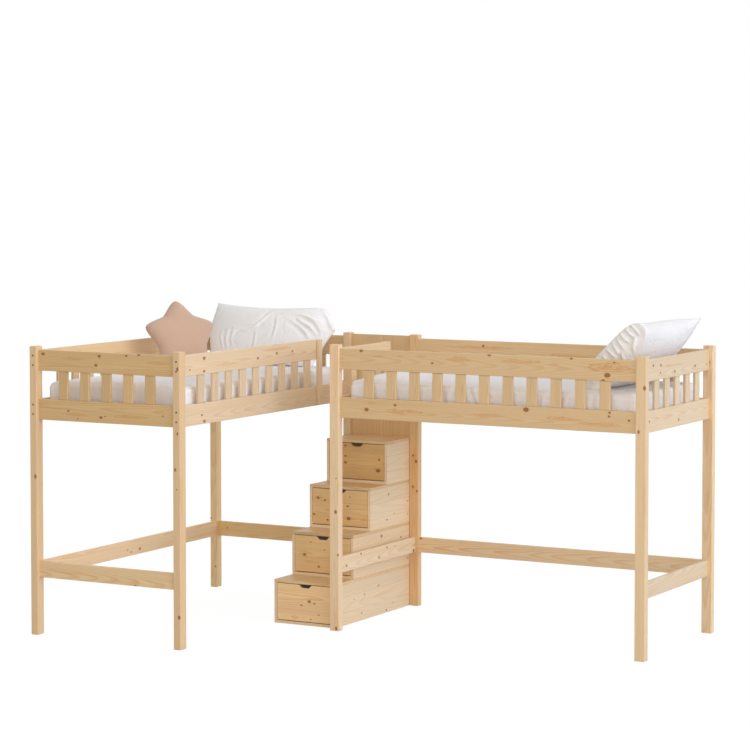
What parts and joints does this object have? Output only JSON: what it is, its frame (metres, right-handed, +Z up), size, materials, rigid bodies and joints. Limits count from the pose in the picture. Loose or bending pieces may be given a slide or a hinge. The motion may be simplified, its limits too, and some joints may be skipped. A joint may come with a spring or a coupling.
{
  "type": "loft bed",
  "caption": "Two pine loft beds at a right angle, joined by a staircase of drawers, with slatted guard rails, mattresses, pillows and a star cushion.",
  "frame": {"origin": "on the floor, at the middle of the whole footprint's box", "axes": "+Z up; +X along the right bed, from the staircase to its far end; +Y from the room towards the wall behind the right bed"},
  "size_m": [3.635, 2.1, 1.9956],
  "materials": {
    "pine": "clear satin lacquer over knotty pine",
    "drawer_pine": "clear satin lacquer over knotty pine",
    "ticking": "plain pale woven cover",
    "cotton": "plain white cotton",
    "velour": "short pile, dusty pink"
  },
  "bodies": {
    "frame": {"left_far_end_lower_guard": "pine", "left_far_end_stretcher": "pine", "left_far_end_top_board": "pine", "left_mattress": "ticking", "left_near_end_lower_guard": "pine", "left_near_end_stretcher": "pine", "left_near_end_top_board": "pine", "left_open_ledger": "pine", "left_open_side_cleat": "pine", "left_open_side_lower_guard": "pine", "left_open_side_top_board": "pine", "left_pillow": "cotton", "left_post_far_open": "pine", "left_post_far_wall": "pine", "left_post_near_open": "pine", "left_post_near_wall": "pine", "left_slat_roll": "pine", "left_wall_ledger": "pine", "left_wall_side_lower_guard": "pine", "left_wall_side_stretcher": "pine", "left_wall_side_top_board": "pine", "right_far_end_lower_guard": "pine", "right_far_end_stretcher": "pine", "right_far_end_top_board": "pine", "right_mattress": "ticking", "right_near_end_cleat": "pine", "right_near_end_lower_guard": "pine", "right_near_end_stretcher": "pine", "right_near_end_top_board": "pine", "right_open_ledger": "pine", "right_open_side_lower_guard": "pine", "right_open_side_top_board": "pine", "right_pillow": "cotton", "right_post_far_open": "pine", "right_post_far_wall": "pine", "right_post_near_open": "pine", "right_post_near_wall": "pine", "right_slat_roll": "pine", "right_wall_ledger": "pine", "right_wall_side_lower_guard": "pine", "right_wall_side_stretcher": "pine", "right_wall_side_top_board": "pine", "stair_back_panel": "pine", "stair_box_1": "pine", "stair_box_2": "pine", "stair_box_3": "pine", "stair_box_4": "pine", "stair_tread_1": "pine", "stair_tread_2": "pine", "stair_tread_3": "pine", "stair_tread_4": "pine", "star_cushion": "velour"},
    "drawer_1": {"drawer_front_1": "drawer_pine", "drawer_box_1": "drawer_pine"},
    "drawer_2": {"drawer_front_2": "drawer_pine", "drawer_box_2": "drawer_pine"},
    "drawer_3": {"drawer_front_3": "drawer_pine", "drawer_box_3": "drawer_pine"},
    "drawer_4": {"drawer_front_4": "drawer_pine", "drawer_box_4": "drawer_pine"}
  },
  "joints": [
    {"name": "drawer_1_slide", "type": "slide", "parent": "frame", "child": "drawer_1", "axis": [0, -1, 0], "range_m": [0, 0.38]},
    {"name": "drawer_2_slide", "type": "slide", "parent": "frame", "child": "drawer_2", "axis": [0, -1, 0], "range_m": [0, 0.38]},
    {"name": "drawer_3_slide", "type": "slide", "parent": "frame", "child": "drawer_3", "axis": [0, -1, 0], "range_m": [0, 0.38]},
    {"name": "drawer_4_slide", "type": "slide", "parent": "frame", "child": "drawer_4", "axis": [0, -1, 0], "range_m": [0, 0.21]}
  ]
}
